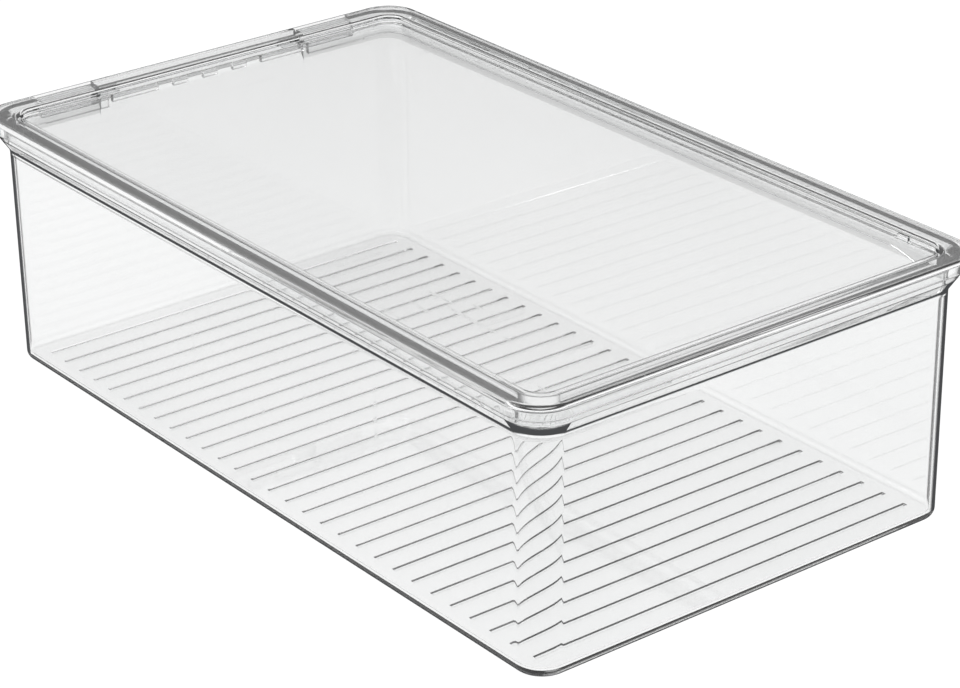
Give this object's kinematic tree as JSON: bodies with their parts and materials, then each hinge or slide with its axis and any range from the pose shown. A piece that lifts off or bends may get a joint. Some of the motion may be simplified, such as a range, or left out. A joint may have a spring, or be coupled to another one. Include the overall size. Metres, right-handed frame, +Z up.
{
  "type": "shoe box",
  "caption": "Clear moulded shoe box: drafted tub with a grooved floor and rolled rim, and a recessed-panel lid hinged along the back short side.",
  "frame": {"origin": "middle of the base, on the surface the box stands on", "axes": "+X across the short side, +Y along the box towards the hinge (the lid is lifted at -Y), +Z up"},
  "size_m": [0.2, 0.34, 0.102],
  "materials": {
    "clear_tub": "clear, glossy, water-white",
    "clear_lid": "clear, glossy, water-white",
    "clear_pin": "clear, glossy"
  },
  "bodies": {
    "tub": {"tub": "clear_tub", "hinge_pin_left": "clear_pin", "hinge_pin_right": "clear_pin"},
    "lid": {"lid": "clear_lid"}
  },
  "joints": [
    {"name": "lid_hinge", "type": "hinge", "parent": "tub", "child": "lid", "pos_m": [0, 0.1671, 0.0952], "axis": [-1, 0, 0], "range_deg": [0, 110]}
  ]
}
